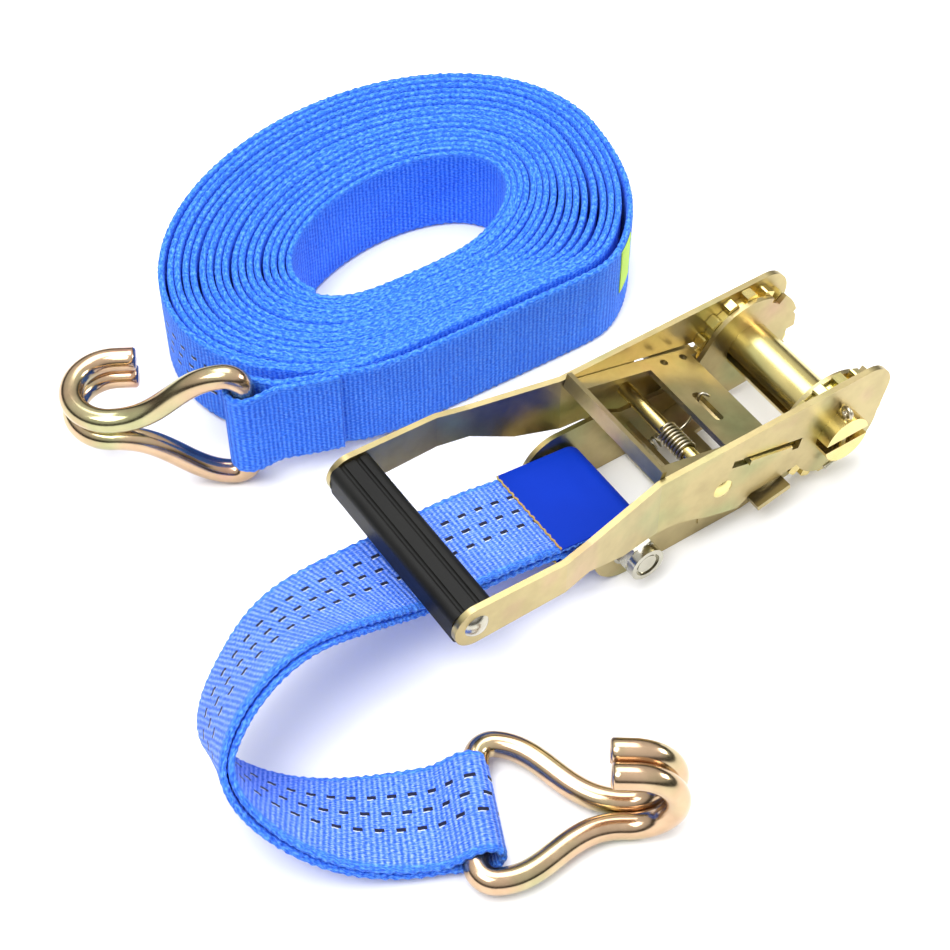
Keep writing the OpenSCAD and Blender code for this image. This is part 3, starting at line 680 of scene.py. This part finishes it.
def on_coil(deg):
    deg = np.atleast_1d(np.asarray(deg, float))
    path = on_oval(np.tile(outer_at, (len(deg), 1)), outer_ab + (GAP + 13.5 * MM * swell(deg))[:, None], deg)
    return flattened(path, TAIL_FRONT)


lift_z = long_bar[2] - floor_z - WEB_W / 2
leave = on_coil(TAIL_TO)[0]
leave_way = unit(on_coil(TAIL_TO - 1)[0] - leave)
tail_end = long_bar - tail_way * 14 * MM - UP * lift_z
reach_at = np.linspace(0, 1, 120)
reach = bezier([leave, leave + leave_way * 22 * MM, tail_end - tail_way * 22 * MM, tail_end], reach_at)
reach[:, 2] += lift_z * smooth(reach_at)
stub = long_bar - tail_way * np.linspace(14, 0, 12)[1:, None] * MM
tail_mid = np.vstack([on_coil(np.arange(TAIL_FROM, TAIL_TO, -1.0)), reach, stub])
tail_mid, = resample([tail_mid], 0.9 * MM)
ts = lengths(tail_mid)
left = ts[-1] - ts
t = tangents(tail_mid)
up = np.tile(UP, (len(tail_mid), 1))
side = np.cross(up, t)
# the loop: out to the bar, round it and back along the inside of the tail
LOOP, LOOP_CLOSES, TAIL_STEP = 60 * MM, 14 * MM, 0.9 * MM
single = tail_mid[left > LOOP]
near = left <= LOOP
half_gap = LAYER / 2 + 0.1 * MM
off = np.where(left < EYE_TAPER, half_gap + (EYE_R - half_gap) * smooth(1 - left / EYE_TAPER), half_gap)
off = off * smooth((LOOP - left) / LOOP_CLOSES)
outer = (tail_mid - side * off[:, None])[near][:-1]
inner = (tail_mid + side * (2 * half_gap * (off == 0) + off)[:, None])[near][:-1][::-1]
inner = inner[: int(46 * MM / TAIL_STEP)]
loop = arc(long_bar, t[-1], -side[-1], EYE_R, 88, -88, 26)
tail_line = np.vstack([single, outer, loop, inner])
tail_line, = resample([tail_line], 0.9 * MM)
t = tangents(tail_line)
up = np.tile(UP, (len(tail_line), 1))
tail = band(
    "tail_webbing", tail_line, up, np.cross(up, t), WEB_W - 0.4 * MM, LAYER, scallop=0.38 * MM, pitch=4.8 * MM)
finish_piece(tail, "long_strap", mat_plain, "long_strap_tail")

# label: a blank woven tag sewn to the tail
LABEL_AT, LABEL_HALF, LABEL_POINTS = -57.0, 3.4, 12
label_mid = on_coil(np.linspace(LABEL_AT + LABEL_HALF, LABEL_AT - LABEL_HALF, LABEL_POINTS))
label_way = tangents(label_mid)
label_up = np.tile(UP, (LABEL_POINTS, 1))
label_out = np.cross(label_up, label_way)
pts = label_mid + label_out * (LAYER / 2 + 0.35 * MM) + UP * 8 * MM
label = band("label_tag", pts, label_up, label_out, 28 * MM, 0.5 * MM)
finish_piece(label, "long_strap", mat_label, "strap_label")

# ---------------------------------------------------------------- springs


def coil_spring(name, start, end, radius, wire_r, turns, closed_turns=1.2):
    start, end = np.asarray(start, float), np.asarray(end, float)
    axis = end - start
    length = np.linalg.norm(axis)
    axis = axis / length
    u = unit(np.cross(axis, [0.0, 1.0, 0.1]))
    v = np.cross(axis, u)
    n = int(turns * 20)
    k = np.linspace(0, 1, n + 1)
    turn_at = k * turns
    flat = closed_turns * 2 * wire_r
    body = length - 2 * flat
    rise = np.where(turn_at < closed_turns, turn_at * 2 * wire_r,
                    np.where(turn_at > turns - closed_turns, length - (turns - turn_at) * 2 * wire_r,
                             flat + (turn_at - closed_turns) / (turns - 2 * closed_turns) * body))
    rise = wire_r + rise * (length - 2 * wire_r) / length
    a = 2 * math.pi * turn_at[:, None]
    route = start + axis * rise[:, None] + radius * (np.cos(a) * u + np.sin(a) * v)
    return tube(name, route, wire_r, sides=10, seed_side=tuple(axis), cap_round=0.2 * MM)


way = np.array(joints["frame_pawl_travel"]["axis"], float)
slo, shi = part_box("frame_pawl_springs")
SPRING_Y, SPRING_HALF = 17 * MM, 9.4 * MM
for name, y in (("pawl_spring_left", SPRING_Y), ("pawl_spring_right", -SPRING_Y)):
    mid_at = np.array([(slo[0] + shi[0]) / 2, y, (slo[2] + shi[2]) / 2])
    a, c = mid_at - way * SPRING_HALF, mid_at + way * SPRING_HALF
    piece = coil_spring(name, a, c, 2.9 * MM, 0.55 * MM, 8)
    piece.data.materials.append(mat_spring)
    if y > 0:
        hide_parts("frame_pawl_springs")
    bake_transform(piece)

rlo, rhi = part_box("handle_cross_rod")
rod = np.array([(rlo[0] + rhi[0]) / 2, 0, (rlo[2] + rhi[2]) / 2])
COILS, COIL_START, COIL_R = 8, math.radians(130), 4.75
k = np.linspace(0, 1, 150)[:, None]
turns_at = 2 * math.pi * COILS * k + COIL_START
ring = np.column_stack([np.cos(turns_at), 0 * turns_at, np.sin(turns_at)])
body = rod + np.array([0, 1, 0]) * (-13 + 16.5 * k) * MM + COIL_R * MM * ring
leg = rod + bezier([[4, 0, -COIL_R], [11, 0, -5.2], [16.5, 0, -1.5], [18.0, 0, 12.6]], np.linspace(0, 1, 22)) * MM
leg[:, 1] = body[-1][1]
tip = leg[-1] + np.array([[0.3, 0, 1.4], [1.5, -0.6, 1.9], [2.9, -1.6, 1.3], [3.9, -2.6, 0.2]]) * MM
wire = np.vstack([body, leg, tip])
torsion = tube("pull_slide_spring", wire, 0.75 * MM, sides=10, seed_side=(0, 1, 0), cap_round=0.2 * MM)
torsion.data.materials.append(mat_spring)
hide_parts("handle_pawl_spring")
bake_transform(torsion)

# ---------------------------------------------------------------- stage, light and camera

bpy.ops.mesh.primitive_plane_add(size=40, location=(-0.1, 0.05, floor_z - 0.0003))
ground = bpy.context.object
ground.name = "stage_floor"
g = Nodes("floor_white")
g.put("Base Color", (0.95, 0.95, 0.95))
g.put("Roughness", 0.9)
g.put("Specular IOR Level", 0.1)
ground.data.materials.append(g.mat)

bpy.context.scene.view_settings.view_transform = "Standard"
world = bpy.data.worlds.new("studio")
bpy.context.scene.world = world
world.use_nodes = True
tree = world.node_tree
background = tree.nodes["Background"]
coord = tree.nodes.new("ShaderNodeTexCoord")
split = tree.nodes.new("ShaderNodeSeparateXYZ")
ramp = tree.nodes.new("ShaderNodeValToRGB")
tree.links.new(coord.outputs["Generated"], split.inputs[0])
tree.links.new(split.outputs["Z"], ramp.inputs["Fac"])
stops = [(0.0, 0.5), (0.05, 0.04), (0.25, 0.10), (0.45, 0.9), (1.0, 1.25)]
elements = ramp.color_ramp.elements
while len(elements) < len(stops):
    elements.new(0.5)
for e, (p, v) in zip(elements, stops):
    e.position = p
    e.color = (v, v, v, 1)
tree.links.new(ramp.outputs["Color"], background.inputs["Color"])
background.inputs["Strength"].default_value = 0.85


def area(name, place, target, size, power, size_y=None):
    data = bpy.data.lights.new(name, "AREA")
    data.energy = power
    data.shape = "RECTANGLE"
    data.size = size
    data.size_y = size_y or size
    obj = bpy.data.objects.new(name, data)
    obj.location = place
    obj.rotation_euler = (Vector(target) - Vector(place)).to_track_quat("-Z", "Y").to_euler()
    bpy.context.scene.collection.objects.link(obj)


area("key", (-0.9, -0.2, 1.5), (-0.12, 0.05, 0), 0.9, 20)
area("top", (0.1, 0.5, 1.6), (-0.1, 0.05, 0), 1.2, 18)
area("rim", (1.1, -0.6, 0.7), (-0.05, 0.0, 0), 0.6, 8, 0.3)

camera_data = bpy.data.cameras.new("camera")
camera_data.lens = 78.3
camera_data.sensor_width = 36
camera_data.dof.use_dof = False
camera_data.clip_end = 50
camera = bpy.data.objects.new("camera", camera_data)
camera.location = (-0.495, -0.471, 0.7245)
camera.rotation_euler = (math.radians(40), 0, math.radians(-34))
bpy.context.scene.collection.objects.link(camera)
bpy.context.scene.camera = camera
